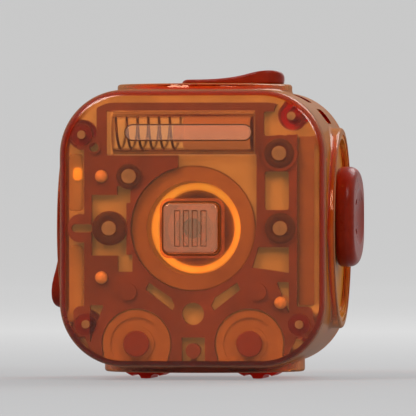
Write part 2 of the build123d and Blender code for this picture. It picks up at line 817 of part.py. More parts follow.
with BuildPart() as bearing_caps:
    rod(frame_front + 0.5, frame_back - 0.3, roller_places(), cap_radius)
    rod(frame_front + 0.5, frame_front + 1.0, roller_places(), 7.8, Mode.SUBTRACT)
    rod(frame_front + 0.5, frame_front + 1.2, roller_places(), 5.2)
    rod(frame_front, frame_back, roller_places(), axle_radius + move_gap, Mode.SUBTRACT)
    with BuildSketch(facing(frame_back)):
        body_outline(wall + frame_edge_gap)
    extrude(amount=cover_depth, mode=Mode.INTERSECT)
save(bearing_caps, "bearing_caps")

with BuildPart() as axle_bushes:
    for low, high in (
        (bracket_y, bracket_y + bracket_depth),
        (rear_frame_y, rear_frame_y + frame_thickness),
    ):
        rod(low - 0.05, high, roller_places(), bush_radius)
        rod(low - 0.05 - bush_flange, low - 0.05, roller_places(), bush_radius + 1.0)
        rod(low - 0.05 - bush_flange, high, roller_places(), axle_radius + fit_gap, Mode.SUBTRACT)
save(axle_bushes, "axle_bushes")

for side, turn in (("left", -1), ("right", 1)):
    axle_place = (turn * roller_x, roller_z)
    motor_place = (turn * motor_x, motor_z)
    toward_motor = mesh_angle if turn > 0 else 180 - mesh_angle

    with BuildPart() as axle:
        rod(frame_front - 0.9, rear_frame_y + frame_thickness - 0.2, [axle_place], axle_radius)
        rod(frame_front - 0.9, frame_front + 0.2, [axle_place], 3.9)
        fillet(axle.faces().sort_by(Axis.Y)[0].edges(), 0.4)
    save(axle, f"{side}_axle")

    drive_gear = gear(wheel_teeth, axle_place, axle_radius + bore_gap, toward_motor)
    save(drive_gear, f"{side}_drive_gear")

    with BuildPart() as pinion:
        toward_roller = toward_motor + 180 + 180 / pinion_teeth
        add(gear(pinion_teeth, motor_place, motor_shaft_radius / 2, toward_roller).part)
        rod(motor_front + 1.0, gear_y + gear_face + 0.2, [motor_place], motor_shaft_radius)
    save(pinion, f"{side}_pinion")

    with BuildPart() as motor:
        rod(motor_front, motor_front + motor_length, [motor_place], motor_radius)
        with BuildSketch(facing(motor_front + motor_length)):
            with Locations(motor_place):
                with GridLocations(2 * motor_radius, 1, 2, 1):
                    Rectangle(2.0, 2 * motor_radius)
        extrude(amount=motor_length, mode=Mode.SUBTRACT)
        shaft_hole = motor_shaft_radius + fit_gap
        rod(motor_front + 0.8, motor_front + motor_length, [motor_place], shaft_hole, Mode.SUBTRACT)
    save(motor, f"{side}_motor")

    with BuildPart() as hub:
        rod(-roller_width / 2 + 0.5, roller_width / 2 - 0.5, [axle_place], hub_radius)
        rod(-roller_width / 2, -roller_width / 2 + 6, [axle_place], hub_radius - 1.6, Mode.SUBTRACT)
        rod(roller_width / 2 - 6, roller_width / 2, [axle_place], hub_radius - 1.6, Mode.SUBTRACT)
        rod(-roller_width / 2 + 0.5, roller_width / 2 - 0.5, [axle_place], 3.0)
        rod(-roller_width / 2, roller_width / 2, [axle_place], axle_radius + bore_gap, Mode.SUBTRACT)
    save(hub, f"{side}_roller_hub")

    with BuildPart() as tyre:
        rod(-roller_width / 2, roller_width / 2, [axle_place], roller_radius)
        fillet(tyre.edges().filter_by(GeomType.CIRCLE), 0.8)
        with BuildSketch(facing(roller_width / 2)):
            with Locations(axle_place):
                with PolarLocations(roller_radius + 0.5, tread_count, start_angle=90 + 180 / tread_count):
                    Circle(1.5)
                Circle(hub_radius + bore_gap)
        extrude(amount=roller_width, mode=Mode.SUBTRACT)
    save(tyre, f"{side}_tyre")


# ---------------------------------------------------------------- sprung plunger in its clear tube

tube_middle_y = tube_front + tube_side / 2
tube_left = tube_x - tube_length / 2
bore_end = 1.2
along_tube = Plane(origin=(tube_left, tube_middle_y, body_z + tube_z), x_dir=(0, 1, 0), z_dir=(1, 0, 0))
with BuildPart() as plunger_tube:
    with BuildSketch(along_tube):
        RectangleRounded(tube_side, tube_side, 1.2)
    extrude(amount=tube_length)
    with BuildSketch(along_tube.offset(bore_end)):
        Circle(tube_bore)
    extrude(amount=tube_length, mode=Mode.SUBTRACT)
save(plunger_tube, "plunger_tube")

with BuildPart() as tube_cap:
    with BuildSketch(along_tube.offset(tube_length - bore_end)):
        Circle(tube_bore - fit_gap)
    extrude(amount=bore_end)
save(tube_cap, "tube_cap")

plunger_start = tube_length - bore_end - rest_gap - plunger_length
with BuildPart() as plunger:
    with BuildSketch(along_tube.offset(plunger_start)):
        Circle(plunger_radius)
    extrude(amount=plunger_length)
    chamfer(plunger.edges().filter_by(GeomType.CIRCLE), 0.5)
    with BuildSketch(along_tube.offset(plunger_start - 3.0)):
        Circle(3.0)
    extrude(amount=3.0)
save(plunger, "plunger")

spring_length = plunger_start - bore_end - 4 * spring_wire - 0.2
plunger_spring = coil_spring(
    (tube_left + bore_end + 2 * spring_wire, tube_middle_y, body_z + tube_z), (1, 0, 0),
    tube_bore - spring_wire - 0.2, spring_wire, spring_length, spring_turns,
)
save(plunger_spring, "plunger_spring")


# ---------------------------------------------------------------- battery, board and rear controls

with BuildPart() as battery:
    with BuildSketch(facing(rear_frame_y - 1.2)):
        with Locations((0, 9)):
            RectangleRounded(36, 33, 3)
    extrude(amount=17)
    fillet(battery.faces().sort_by(Axis.Y)[0].edges(), 1.5)
save(battery, "battery")

with BuildPart() as main_board:
    with BuildSketch(facing(board_y + board_thickness)):
        with Locations((0, -7)):
            RectangleRounded(52, 56, 3)
    extrude(amount=board_thickness)
    rod(board_y, board_y + board_thickness, board_post_places, 1.1, Mode.SUBTRACT)
    with BuildSketch(facing(board_y + board_thickness + 1.2)):
        with Locations((-12, 8), (10, 6)):
            Rectangle(9, 9)
        with Locations((-14, -10), (-6, -10)):
            Rectangle(4, 3)
    extrude(amount=1.2)
save(main_board, "main_board")
with BuildPart() as usb_port:
    with BuildSketch(facing(back_y - 0.3)):
        with Locations((0, usb_z)):
            RectangleRounded(usb_width, usb_height, 1.5)
    extrude(amount=back_y - 0.3 - board_y - board_thickness - fit_gap)
    with BuildSketch(facing(back_y - 0.3)):
        with Locations((0, usb_z)):
            RectangleRounded(usb_width - 2 * usb_wall, usb_height - 2 * usb_wall, 1.0)
            Rectangle(6.6, 0.7, mode=Mode.SUBTRACT)
    extrude(amount=6.0, mode=Mode.SUBTRACT)
save(usb_port, "usb_port")

switch_depth = 4.0
with BuildPart() as power_switch:
    with BuildSketch(facing(board_y + board_thickness + fit_gap + switch_depth)):
        with Locations((power_x, usb_z)):
            Rectangle(11.0, 5.0)
    extrude(amount=switch_depth)
save(power_switch, "power_switch")

with BuildPart() as power_slider:
    slider_x = power_x - power_travel / 2
    with BuildSketch(facing(back_y + power_stand)):
        with Locations((slider_x, usb_z)):
            RectangleRounded(slider_width, slider_height, 0.6)
    extrude(amount=back_y + power_stand - board_y - board_thickness - switch_depth - 0.4)
    fillet(power_slider.faces().sort_by(Axis.Y)[-1].edges(), 0.3)
save(power_slider, "power_slider")
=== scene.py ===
"""Looks of the educational coding robot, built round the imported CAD.

Materials first, then the finer pieces, then the stage, the lights and the camera.
"""

import json
from math import cos, pi, radians, sin, tau

import bmesh
import bpy
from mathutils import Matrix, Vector


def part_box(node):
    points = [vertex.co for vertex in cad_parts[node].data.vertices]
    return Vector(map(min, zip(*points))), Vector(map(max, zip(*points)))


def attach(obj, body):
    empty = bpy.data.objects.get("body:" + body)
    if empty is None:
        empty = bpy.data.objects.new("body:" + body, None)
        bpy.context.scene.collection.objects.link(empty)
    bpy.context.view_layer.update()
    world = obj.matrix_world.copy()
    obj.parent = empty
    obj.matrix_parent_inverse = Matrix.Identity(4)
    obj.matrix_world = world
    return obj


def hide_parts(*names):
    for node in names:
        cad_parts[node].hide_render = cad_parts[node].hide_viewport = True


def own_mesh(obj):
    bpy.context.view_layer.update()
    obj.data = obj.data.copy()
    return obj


MM = 0.001
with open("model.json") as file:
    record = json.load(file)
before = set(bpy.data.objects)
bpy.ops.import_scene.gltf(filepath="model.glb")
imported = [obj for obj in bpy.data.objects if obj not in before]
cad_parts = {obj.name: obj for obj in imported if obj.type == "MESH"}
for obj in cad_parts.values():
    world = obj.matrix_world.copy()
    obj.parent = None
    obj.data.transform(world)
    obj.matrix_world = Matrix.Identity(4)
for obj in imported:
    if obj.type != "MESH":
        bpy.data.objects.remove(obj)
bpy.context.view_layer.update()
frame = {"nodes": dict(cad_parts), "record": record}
nodes = frame["nodes"]

# ---------------------------------------------------------------- the frame's own sizes

shell_low, shell_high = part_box("front_cover")
BODY_MIDDLE = (shell_low.z + shell_high.z) / 2
FRONT = shell_low.y


# ---------------------------------------------------------------- materials


def new_material(name):
    """An empty node material and its tree."""
    made = bpy.data.materials.new(name)
    made.use_nodes = True
    made.node_tree.nodes.clear()
    return made, made.node_tree


def add_node(tree, kind, **inputs):
    """A node with some of its inputs set; underscores in a name stand for spaces."""
    node = tree.nodes.new(kind)
    for name, value in inputs.items():
        node.inputs[name.replace("_", " ")].default_value = value
    return node


def noise(tree, scale, detail=3.0):
    """Noise over the object's own coordinates, in features per metre."""
    place = tree.nodes.new("ShaderNodeTexCoord")
    made = add_node(tree, "ShaderNodeTexNoise", Scale=scale, Detail=detail, Roughness=0.55)
    tree.links.new(place.outputs["Object"], made.inputs["Vector"])
    return made


def ramp(tree, source, low, high, start=0.3, stop=0.7):
    """A colour between low and high, by a value."""
    made = tree.nodes.new("ShaderNodeValToRGB")
    made.color_ramp.elements[0].position = start
    made.color_ramp.elements[1].position = stop
    made.color_ramp.elements[0].color = (*low, 1)
    made.color_ramp.elements[1].color = (*high, 1)
    tree.links.new(source, made.inputs["Fac"])
    return made.outputs["Color"]


def span(tree, source, low, high):
    """A value between low and high, by a value from 0 to 1."""
    made = add_node(tree, "ShaderNodeMapRange", To_Min=low, To_Max=high)
    tree.links.new(source, made.inputs["Value"])
    return made.outputs["Result"]


def bump(tree, source, height):
    """A bump of the given height in metres."""
    made = add_node(tree, "ShaderNodeBump", Strength=1.0, Distance=height)
    tree.links.new(source, made.inputs["Height"])
    return made.outputs["Normal"]


def close_surface(made, tree, shader):
    """Sends a shader to the material's surface."""
    out = tree.nodes.new("ShaderNodeOutputMaterial")
    tree.links.new(shader.outputs[0], out.inputs["Surface"])
    return made


TEXTURE_HEIGHT = 0.02 * MM
SCATTER_DEPTH = 2 * MM


def solid(name, low, high, rough, metallic=0.0, scale=400.0, sub=0.0, shine=0.5):
    """A moulded, wrapped or metal surface: two close colours, uneven gloss and a fine texture."""
    made, tree = new_material(name)
    shader = add_node(
        tree,
        "ShaderNodeBsdfPrincipled",
        Metallic=metallic,
        Specular_IOR_Level=shine,
        Subsurface_Weight=sub,
        Subsurface_Radius=(1.0, 0.3, 0.1),
        Subsurface_Scale=SCATTER_DEPTH,
    )
    grain = noise(tree, scale)
    tree.links.new(ramp(tree, grain.outputs["Fac"], low, high), shader.inputs["Base Color"])
    tree.links.new(span(tree, grain.outputs["Fac"], *rough), shader.inputs["Roughness"])
    fine = noise(tree, scale * 6, 2.0)
    tree.links.new(bump(tree, fine.outputs["Fac"], TEXTURE_HEIGHT), shader.inputs["Normal"])
    return close_surface(made, tree, shader)


def mix_shaders(tree, factor, first, second):
    """One shader where the factor is 0, another where it is 1."""
    mix = tree.nodes.new("ShaderNodeMixShader")
    tree.links.new(factor, mix.inputs["Fac"])
    tree.links.new(first.outputs[0], mix.inputs[1])
    tree.links.new(second.outputs[0], mix.inputs[2])
    return mix


# Clear plastic: the bounces after which light counts as trapped, and the colour it then has.
LATE_BOUNCE = 6
DEEP_AMBER = (0.32, 0.05, 0.003)
# What a lamp's light keeps of each colour when it passes through one surface.
SHADOW_TINT = (0.96, 0.9, 0.85)
# How far the surface faces away where its skin starts to show, and where it shows fully.
SKIN_FROM, SKIN_FULL = 0.35, 0.8


def clear_plastic(
    name,
    tint,
    rough,
    clearness,
    absorb,
    density,
    ior=1.49,
    shine=0.5,
    skin=(0.26, 0.055, 0.003),
    skin_share=0.92,
    gloss_tint=(1.0, 0.62, 0.38),
):
    """See-through moulded plastic: it darkens with thickness, and lamps reach through it.

    Seen along its surface it shows its own deep colour, the skin, more than what is behind it.
    """
    made, tree = new_material(name)
    shader = add_node(
        tree,
        "ShaderNodeBsdfPrincipled",
        IOR=ior,
        Transmission_Weight=clearness,
        Specular_IOR_Level=shine,
        Specular_Tint=(*gloss_tint, 1),
    )
    haze = noise(tree, 60.0, 2.0)
    low = tuple(0.93 * channel for channel in tint)
    tree.links.new(ramp(tree, haze.outputs["Fac"], low, tint), shader.inputs["Base Color"])
    tree.links.new(span(tree, haze.outputs["Fac"], *rough), shader.inputs["Roughness"])
    path = tree.nodes.new("ShaderNodeLightPath")
    # Light that has bounced for long inside a wall comes out as the wall's own deep colour.
    late = add_node(tree, "ShaderNodeMapRange", From_Min=LATE_BOUNCE, From_Max=LATE_BOUNCE + 1)
    tree.links.new(path.outputs["Ray Depth"], late.inputs["Value"])
    deep = add_node(tree, "ShaderNodeBsdfDiffuse", Color=(*DEEP_AMBER, 1))
    surface = add_node(
        tree,
        "ShaderNodeBsdfPrincipled",
        Base_Color=(*skin, 1),
        Roughness=0.4,
        Specular_IOR_Level=0.03,
    )
    slant = add_node(tree, "ShaderNodeLayerWeight", Blend=0.5)
    share = add_node(
        tree, "ShaderNodeMapRange", From_Min=SKIN_FROM, From_Max=SKIN_FULL, To_Max=skin_share
    )
    tree.links.new(slant.outputs["Facing"], share.inputs["Value"])
    skinned = mix_shaders(tree, share.outputs["Result"], shader, surface)
    trapped = mix_shaders(tree, late.outputs["Result"], skinned, deep)
    passing = add_node(tree, "ShaderNodeBsdfTransparent", Color=(*SHADOW_TINT, 1))
    mix = mix_shaders(tree, path.outputs["Is Shadow Ray"], trapped, passing)
    out = tree.nodes.new("ShaderNodeOutputMaterial")
    tree.links.new(mix.outputs[0], out.inputs["Surface"])
    inside = add_node(tree, "ShaderNodeVolumeAbsorption", Color=(*absorb, 1), Density=density)
    tree.links.new(inside.outputs[0], out.inputs["Volume"])
    return made


def glowing(name, core, edge, strength):
    """A lit light guide: an even glow with soft brighter patches."""
    made, tree = new_material(name)
    shader = add_node(tree, "ShaderNodeBsdfPrincipled", Roughness=0.3, Emission_Strength=strength)
    patches = noise(tree, 250.0, 1.0)
    colour = ramp(tree, patches.outputs["Fac"], edge, core)
    tree.links.new(colour, shader.inputs["Base Color"])
    tree.links.new(colour, shader.inputs["Emission Color"])
    return close_surface(made, tree, shader)


def lit_plate(name, low, high, strength):
    """A satin plate that also gives off its own colour: a lamp's glow on the indicator lenses,
    painted light on the other plates.
    """
    made, tree = new_material(name)
    shader = add_node(tree, "ShaderNodeBsdfPrincipled", Roughness=0.6, Emission_Strength=strength)
    clouds = noise(tree, 45.0, 2.0)
    colour = ramp(tree, clouds.outputs["Fac"], low, high)
    tree.links.new(colour, shader.inputs["Base Color"])
    tree.links.new(colour, shader.inputs["Emission Color"])
    grain = noise(tree, 2500.0, 2.0)
    tree.links.new(bump(tree, grain.outputs["Fac"], 0.01 * MM), shader.inputs["Normal"])
    return close_surface(made, tree, shader)


# Studio paper: its greys, the glow near the robot and at the back, and where the glow stops rising.
PAPER_DARK, PAPER_PALE = (0.12, 0.12, 0.12), (0.125, 0.125, 0.125)
GLOW_NEAR, GLOW_FAR = (0.29, 0.29, 0.295), (0.515, 0.515, 0.515)
GLOW_REACH = 0.9


def paper():
    """Studio paper: it glows a little by itself, more towards the backdrop."""
    made, tree = new_material("studio_paper")
    shader = add_node(tree, "ShaderNodeBsdfPrincipled", Roughness=0.9, Emission_Strength=1.0)
    grain = noise(tree, 3.0)
    greys = ramp(tree, grain.outputs["Fac"], PAPER_DARK, PAPER_PALE)
    tree.links.new(greys, shader.inputs["Base Color"])
    place = tree.nodes.new("ShaderNodeTexCoord")
    split = tree.nodes.new("ShaderNodeSeparateXYZ")
    tree.links.new(place.outputs["Object"], split.inputs["Vector"])
    glow = ramp(tree, split.outputs["Y"], GLOW_NEAR, GLOW_FAR, 0.0, GLOW_REACH)
    tree.links.new(glow, shader.inputs["Emission Color"])
    return close_surface(made, tree, shader)


materials = {
    "amber_shell": clear_plastic(
        "amber_shell",
        (1.0, 0.9, 0.78),
        (0.02, 0.05),
        1.0,
        (0.985, 0.62, 0.14),
        680.0,
        shine=0.12,
        skin=(0.29, 0.09, 0.005),
    ),
    "amber_trim": clear_plastic(
        "amber_trim",
        (1.0, 0.9, 0.75),
        (0.03, 0.07),
        1.0,
        (0.99, 0.66, 0.06),
        520.0,
        shine=0.15,
        skin=(0.42, 0.14, 0.006),
    ),
    "clear_tube": clear_plastic(
        "clear_tube",
        (1.0, 0.95, 0.88),
        (0.04, 0.08),
        1.0,
        (0.95, 0.78, 0.55),
        60.0,
        ior=1.1,
        skin=(0.4, 0.2, 0.08),
        skin_share=0.4,
    ),
    "button_clear": clear_plastic(
        "button_clear", (0.95, 0.58, 0.34), (0.05, 0.1), 0.82, (0.92, 0.5, 0.26), 200.0, shine=0.4
    ),
    "red_control": solid(
        "red_control", (0.17, 0.009, 0.001), (0.21, 0.013, 0.002), (0.24, 0.34), sub=0.2, shine=0.12
    ),
    "frame_red": solid(
        "frame_red", (0.1, 0.03, 0.024), (0.18, 0.052, 0.038), (0.5, 0.65), scale=70.0
    ),
    "orange_part": solid("orange_part", (0.28, 0.17, 0.075), (0.33, 0.21, 0.095), (0.4, 0.5)),
    # The diffuser plate gives off a faint painted glow that evens out the light inside the body.
    "diffuser_plate": lit_plate("diffuser_plate", (0.31, 0.28, 0.14), (0.5, 0.46, 0.25), 0.14),
    "glow": glowing("glow", (1.0, 0.6, 0.09), (1.0, 0.5, 0.065), 0.72),
    "roller_rubber": solid(
        "roller_rubber", (0.42, 0.008, 0.001), (0.52, 0.012, 0.002), (0.35, 0.5), shine=0.08
    ),
    "steel": solid("steel", (0.5, 0.48, 0.46), (0.62, 0.6, 0.58), (0.25, 0.4), 1.0),
    "spring_steel": solid("spring_steel", (0.32, 0.25, 0.18), (0.42, 0.33, 0.24), (0.25, 0.4), 1.0),
    "brass_part": solid("brass_part", (0.6, 0.42, 0.2), (0.72, 0.52, 0.26), (0.3, 0.45), 1.0),
    "board_green": solid("board_green", (0.10, 0.05, 0.03), (0.14, 0.07, 0.04), (0.35, 0.5)),
    "battery_wrap": solid("battery_wrap", (0.5, 0.24, 0.1), (0.58, 0.28, 0.12), (0.3, 0.4)),
    "black_part": solid("black_part", (0.03, 0.02, 0.02), (0.05, 0.03, 0.03), (0.4, 0.55)),
    "gear_white": solid("gear_white", (0.6, 0.42, 0.28), (0.7, 0.5, 0.34), (0.35, 0.45)),
    "motor_can": solid("motor_can", (0.5, 0.48, 0.46), (0.6, 0.58, 0.56), (0.25, 0.35), 1.0),
}
# Looks that one slot shares between parts of different finish.
OWN_LOOK = {
    "front_cover": clear_plastic(
        "front_amber",
        (1.0, 0.9, 0.78),
        (0.12, 0.18),
        1.0,
        (0.97, 0.62, 0.2),
        620.0,
        shine=0.25,
        skin=(0.22, 0.06, 0.004),
        gloss_tint=(1.0, 0.86, 0.76),
    ),
    "left_axle": solid(
        "axle_paint", (0.16, 0.03, 0.014), (0.2, 0.04, 0.02), (0.3, 0.4), shine=0.3
    ),
    "indicator_leds": lit_plate("led_lens", (0.42, 0.24, 0.09), (0.6, 0.38, 0.18), 0.2),
    # The plunger gives off strong painted light, so that it looks evenly lit in spite of the lamps
    # above.
    "plunger": lit_plate("plunger_painted_glow", (0.2, 0.095, 0.045), (0.26, 0.125, 0.06), 1.3),
    "window_lens": clear_plastic(
        "window_clear",
        (1.0, 0.82, 0.66),
        (0.05, 0.1),
        0.9,
        (0.97, 0.68, 0.3),
        560.0,
        ior=1.3,
        shine=0.4,
    ),
}
OWN_LOOK["right_axle"] = OWN_LOOK["left_axle"]
# Looks of the pieces added below.
# The tray behind the tube gives off painted light of its own.
PAINTED_GLOW_TRAY = lit_plate("painted_glow_tray", (0.34, 0.27, 0.14), (0.46, 0.37, 0.2), 1.25)
FROSTED = clear_plastic(
    "frosted_bar",
    (1.0, 0.92, 0.8),
    (0.3, 0.38),
    1.0,
    (0.95, 0.8, 0.5),
    60.0,
    ior=1.25,
    skin_share=0.5,
)
# Dark lines: the real seams round the window and the button, and painted shade along the button's
# grooves.
DARK_SEAM_AND_SHADE = solid("dark_seam_and_shade", (0.1, 0.03, 0.01), (0.14, 0.042, 0.014), (0.3, 0.45), shine=0.12)
# Painted shade round the frame's screw bosses.
PAINTED_SHADE_RING = solid("painted_shade_ring", (0.05, 0.018, 0.012), (0.07, 0.024, 0.016), (0.45, 0.6), shine=0.3)
# Painted shade on the drum's floor inside the lit ring.
PAINTED_SHADE_SLEEVE = solid("shade_sleeve", (0.2, 0.095, 0.05), (0.26, 0.12, 0.062), (0.4, 0.55), shine=0.3)
DULL_PANEL = solid("dull_panel", (0.2, 0.12, 0.07), (0.25, 0.15, 0.085), (0.45, 0.6), shine=0.3)
for row in frame["record"]["subparts"]:
    target = nodes[row["node"]]
    target.data.materials.clear()
    target.data.materials.append(OWN_LOOK.get(row["node"], materials[row["material_slot"]]))

# ---------------------------------------------------------------- finer pieces

SOFT_VOXEL = 0.3 * MM
SOFT_PASSES = 14


def soften(node_name, body):
    """A round-edged copy of a red CAD control, which takes its place."""
    source = nodes[node_name]
    piece = bpy.data.objects.new(f"soft_{node_name}", source.data.copy())
    bpy.context.scene.collection.objects.link(piece)
    remesh = piece.modifiers.new("even", "REMESH")
    remesh.mode = "VOXEL"
    remesh.voxel_size = SOFT_VOXEL
    remesh.use_smooth_shade = True
    rounding = piece.modifiers.new("round", "SMOOTH")
    rounding.factor = 0.5
    rounding.iterations = SOFT_PASSES
    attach(piece, body)
    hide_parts(node_name)


def finish_piece(name, form, material, body="body"):
    """A smooth-shaded piece from a filled bmesh, riding on a body."""
    bmesh.ops.recalc_face_normals(form, faces=form.faces)
    mesh = bpy.data.meshes.new(name)
    form.to_mesh(mesh)
    form.free()
    mesh.materials.append(material)
    piece = bpy.data.objects.new(name, mesh)
    bpy.context.scene.collection.objects.link(piece)
    mesh.shade_smooth()
    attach(piece, body)
    return piece


def front_measures(node_name):
    """A CAD piece's half width, half height and middle, as seen from the front."""
    low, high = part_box(node_name)
    middle = ((low.x + high.x) / 2, (low.z + high.z) / 2)
    return (high.x - low.x) / 2, (high.z - low.z) / 2, middle


def round_rectangle(half_width, half_height, corner, centre, steps=10):
    """Points of a round-cornered rectangle, as (x, z), going round it once."""
    points = []
    for turn, (side_x, side_z) in enumerate(((1, 1), (-1, 1), (-1, -1), (1, -1))):
        middle_x = centre[0] + side_x * (half_width - corner)
        middle_z = centre[1] + side_z * (half_height - corner)
        for step in range(steps + 1):
            angle = pi / 2 * (turn + step / steps)
            points.append((middle_x + corner * cos(angle), middle_z + corner * sin(angle)))
    return points


WIRE_SIDES = 10
STEPS_PER_TURN = 28


def round_section(form, centre, across, upright, radius):
    """A ring of vertices round a point, in the plane of two directions."""
    return [
        form.verts.new(
            centre
            + across * radius * cos(tau * side / WIRE_SIDES)
            + upright * radius * sin(tau * side / WIRE_SIDES)
        )
        for side in range(WIRE_SIDES)
    ]


def join_rings(form, rings, closed=False):
    """Faces from each ring to the next; a closed form joins up, an open one gets two end faces."""
    following = rings[1:] + rings[:1] if closed else rings[1:]
    for here, there in zip(rings, following):
        for index in range(len(here)):
            other = (index + 1) % len(here)
            form.faces.new((here[index], here[other], there[other], there[index]))
    if not closed:
        form.faces.new(rings[0])
        form.faces.new(rings[-1])


def bead(name, outline, y, radius, material, body="body"):
    """A round bead laid along a closed outline that faces the front."""
    form = bmesh.new()
    rings = []
    for index, (x, z) in enumerate(outline):
        before, after = outline[index - 1], outline[(index + 1) % len(outline)]
        along = Vector((after[0] - before[0], 0, after[1] - before[1])).normalized()
        across = Vector((along.z, 0, -along.x))
        rings.append(round_section(form, Vector((x, y, z)), across, Vector((0, 1, 0)), radius))
    join_rings(form, rings, closed=True)
    return finish_piece(name, form, material, body)


def slab(name, outline, y_front, y_back, edge, material):
    """A plate between two depths with a rounded front edge."""
    form = bmesh.new()
    centre_x = sum(x for x, _ in outline) / len(outline)
    centre_z = sum(z for _, z in outline) / len(outline)
    steps = 4
    rings = [[form.verts.new((x, y_back, z)) for x, z in outline]]
    reach = max(abs(x - centre_x) for x, _ in outline)
    rise = max(abs(z - centre_z) for _, z in outline)
    for step in range(steps + 1):
        angle = pi / 2 * step / steps
        inset = edge * (1 - cos(angle))
        depth = y_front + edge * (1 - sin(angle))
        rings.append(
            [
                form.verts.new(
                    (
                        centre_x + (x - centre_x) * (1 - inset / reach),
                        depth,
                        centre_z + (z - centre_z) * (1 - inset / rise),
                    )
                )
                for x, z in outline
            ]
        )
    join_rings(form, rings)
    return finish_piece(name, form, material)


def washer(name, centre, inner, outer, y_front, y_back, material):
    """A flat ring with softly rounded edges, facing the front."""
    form = bmesh.new()
    sides = 48
    soft = min(0.15 * MM, (outer - inner) / 4)
    profile = [
        (inner, y_back),
        (inner, y_front + soft),
        (inner + soft, y_front),
        (outer - soft, y_front),
        (outer, y_front + soft),
        (outer, y_back),
    ]
    rings = []
    for side in range(sides):
        angle = tau * side / sides
        rings.append(
            [
                form.verts.new((centre[0] + r * cos(angle), y, centre[1] + r * sin(angle)))
                for r, y in profile
            ]
        )
    join_rings(form, rings, closed=True)
    return finish_piece(name, form, material)


def live_spring(node_name, along, wire, turns):
    """A wound spring in the CAD spring's place."""
    low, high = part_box(node_name)
    along = Vector(along)
    middle = (low + high) / 2
    length = (high - low).dot(along) - 2 * wire
    across = Vector((0, 0, 1))
    aside = along.cross(across)
    coil_radius = (high.z - low.z) / 2 - wire
    form = bmesh.new()
    steps = STEPS_PER_TURN * turns
    rings = []
    for step in range(steps + 1):
        share = step / steps
        angle = tau * turns * share
        outward = across * cos(angle) + aside * sin(angle)
        centre = middle + along * length * (share - 0.5) + outward * coil_radius
        rings.append(round_section(form, centre, outward, along, wire))
    join_rings(form, rings)
    piece = finish_piece(f"live_{node_name}", form, materials["spring_steel"])
    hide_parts(node_name)
    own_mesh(piece)


for side in ("left", "top"):
    soften(f"{side}_lever", f"{side}_control")

live_spring(
    "plunger_spring",
    along=(1, 0, 0),
    wire=0.4 * MM,
    turns=6,
)
live_spring(
    "button_spring",
    along=(0, 1, 0),
    wire=0.35 * MM,
    turns=4,
)

lens_half_width, lens_half_height, lens_middle = front_measures("window_lens")
LENS_END_SHARE = 0.98  # the window's ends are very nearly half circles
bead(
    "window_bead",
    round_rectangle(
        lens_half_width, lens_half_height, lens_half_height * LENS_END_SHARE, lens_middle
    ),
    FRONT - 0.02 * MM,
    0.24 * MM,
    DARK_SEAM_AND_SHADE,
)

# The seam between the button and its opening; the button's box takes in its hidden flange.
BUTTON_FLANGE = 1.5 * MM
SEAM_GAP = 0.5 * MM
SEAM_CORNER = 2.3 * MM
button_half_width, button_half_height, _ = front_measures("front_button")
bead(
    "button_bead",
    round_rectangle(
        button_half_width - BUTTON_FLANGE + SEAM_GAP,
        button_half_height - BUTTON_FLANGE + SEAM_GAP,
        SEAM_CORNER,
        (0.0, BODY_MIDDLE),
    ),
    FRONT,
    0.25 * MM,
    DARK_SEAM_AND_SHADE,
)

# A pale tray behind the clear tube that gives off painted light, so that the spring shows against
# it.
TRAY_RIM = 0.2 * MM
TRAY_GAP, TRAY_DEPTH = 0.15 * MM, 0.8 * MM
tube_half_width, tube_half_height, tube_middle = front_measures("plunger_tube")
tube_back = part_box("plunger_tube")[1].y
slab(
    "tube_tray",
    round_rectangle(
        tube_half_width + TRAY_RIM, tube_half_height + TRAY_RIM, 1.4 * MM, tube_middle
    ),
    tube_back + TRAY_GAP,
    tube_back + TRAY_GAP + TRAY_DEPTH,
    0.3 * MM,
    PAINTED_GLOW_TRAY,
)

# Clear light bars down the left side, above and below the frame's middle tab.
frame_front, frame_back = (corner.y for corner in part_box("chassis_frame"))
BAR_LEFT, BAR_RIGHT = -37.0 * MM, -32.7 * MM
BAR_SPANS = {"upper_bar": (5.0 * MM, 22.0 * MM), "lower_bar": (-28.0 * MM, -5.0 * MM)}
for name, (low, high) in BAR_SPANS.items():
    slab(
        name,
        round_rectangle(
            (BAR_RIGHT - BAR_LEFT) / 2,
            (high - low) / 2,
            1.6 * MM,
            ((BAR_LEFT + BAR_RIGHT) / 2, BODY_MIDDLE + (low + high) / 2),
        ),
        frame_back - 2.3 * MM,
        frame_back - 0.8 * MM,
        0.5 * MM,
        FROSTED,
    )
# A lit lamp in front of the upper bar.
LAMP_HALF_WIDTH, LAMP_HALF_HEIGHT, LAMP_CORNER = 1.2 * MM, 1.9 * MM, 1.1 * MM
LAMP_MIDDLE = (-34.6 * MM, BODY_MIDDLE + 16.0 * MM)
slab(
    "side_lamp",
    round_rectangle(LAMP_HALF_WIDTH, LAMP_HALF_HEIGHT, LAMP_CORNER, LAMP_MIDDLE),
    frame_back - 0.6 * MM,
    frame_back - 0.1 * MM,
    0.25 * MM,
    materials["glow"],
)

# A plain panel beside the frame's right edge.
PANEL_HALF_WIDTH, PANEL_HALF_HEIGHT, PANEL_CORNER = 2.4 * MM, 25.0 * MM, 0.8 * MM
PANEL_MIDDLE = (33.5 * MM, BODY_MIDDLE + 2.2 * MM)
slab(
    "right_panel",
    round_rectangle(PANEL_HALF_WIDTH, PANEL_HALF_HEIGHT, PANEL_CORNER, PANEL_MIDDLE),
    frame_back - 0.5 * MM,
    frame_back - 0.02 * MM,
    0.2 * MM,
    DULL_PANEL,
)

